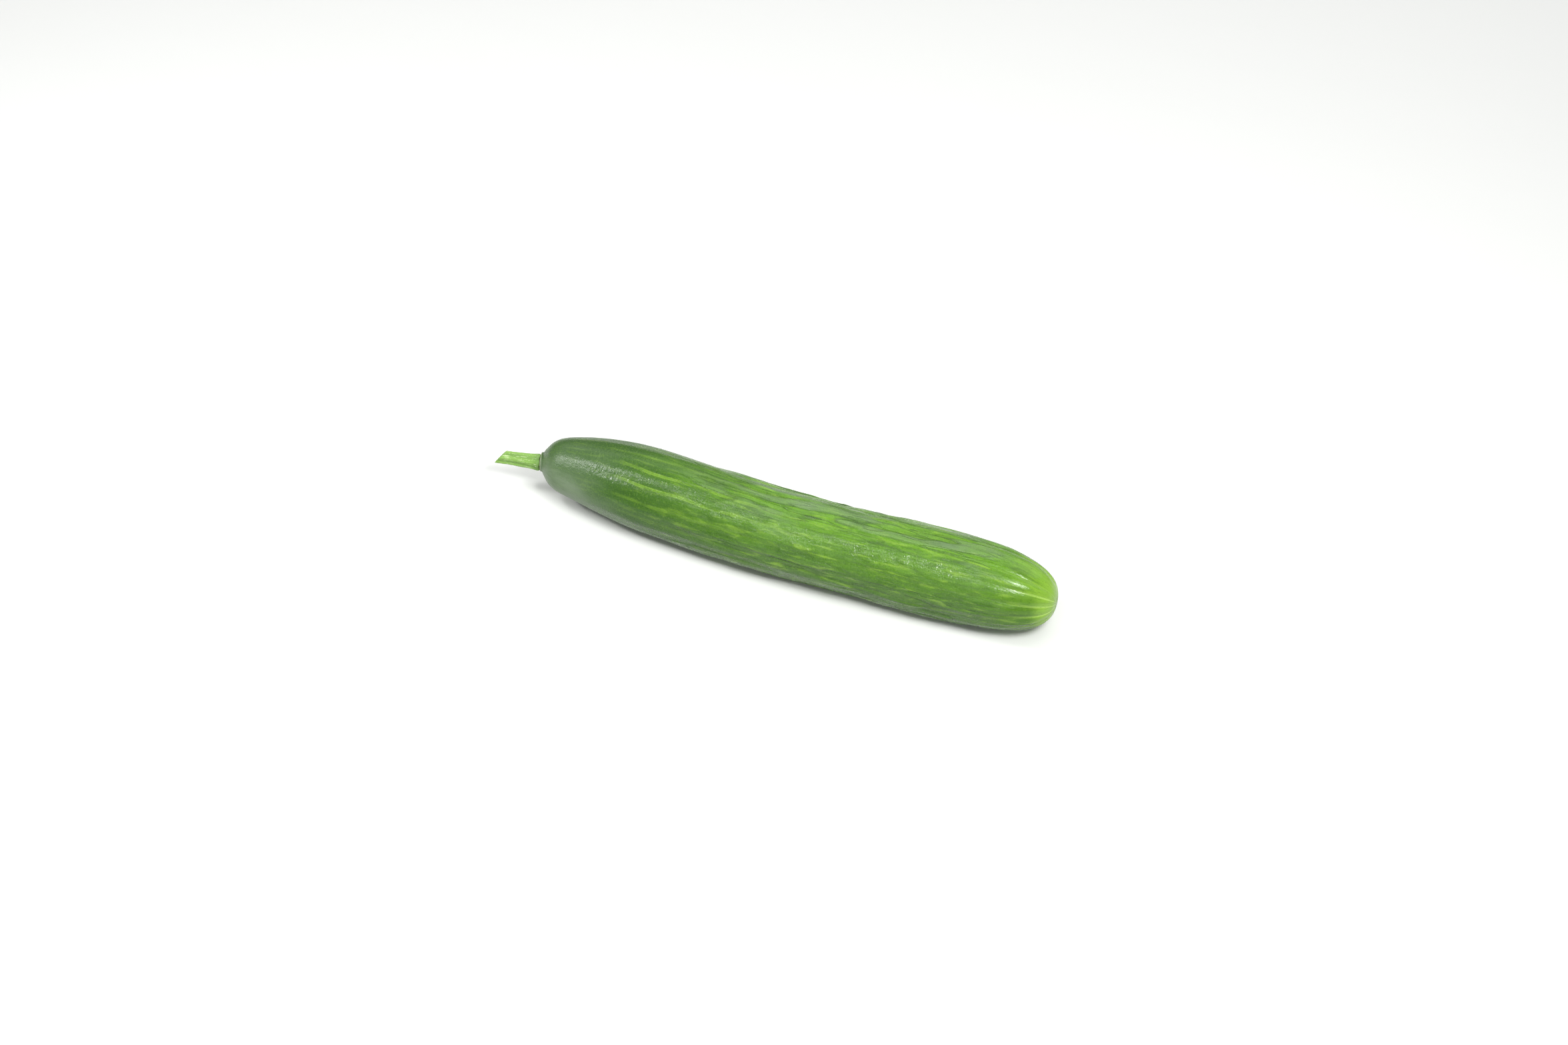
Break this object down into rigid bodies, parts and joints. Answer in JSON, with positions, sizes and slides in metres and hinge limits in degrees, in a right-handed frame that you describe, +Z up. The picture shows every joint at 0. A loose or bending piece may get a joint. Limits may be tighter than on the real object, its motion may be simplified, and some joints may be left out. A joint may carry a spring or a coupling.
{
  "type": "cucumber",
  "caption": "Whole long greenhouse cucumber lying on its side: a slightly bowed, ribbed green fruit with a narrower neck and a short length of cut stem.",
  "frame": {"origin": "on the surface that the cucumber lies on, under the middle of its bounding box", "axes": "+X along the cucumber from the cut stem to the blossom end; +Y across it, away from its front; +Z up from the surface"},
  "size_m": [0.3238, 0.051, 0.046],
  "materials": {
    "fruit_skin": "satin",
    "stem_rind": "matte"
  },
  "bodies": {
    "root": {"fruit": "fruit_skin", "stem": "stem_rind"}
  },
  "joints": []
}
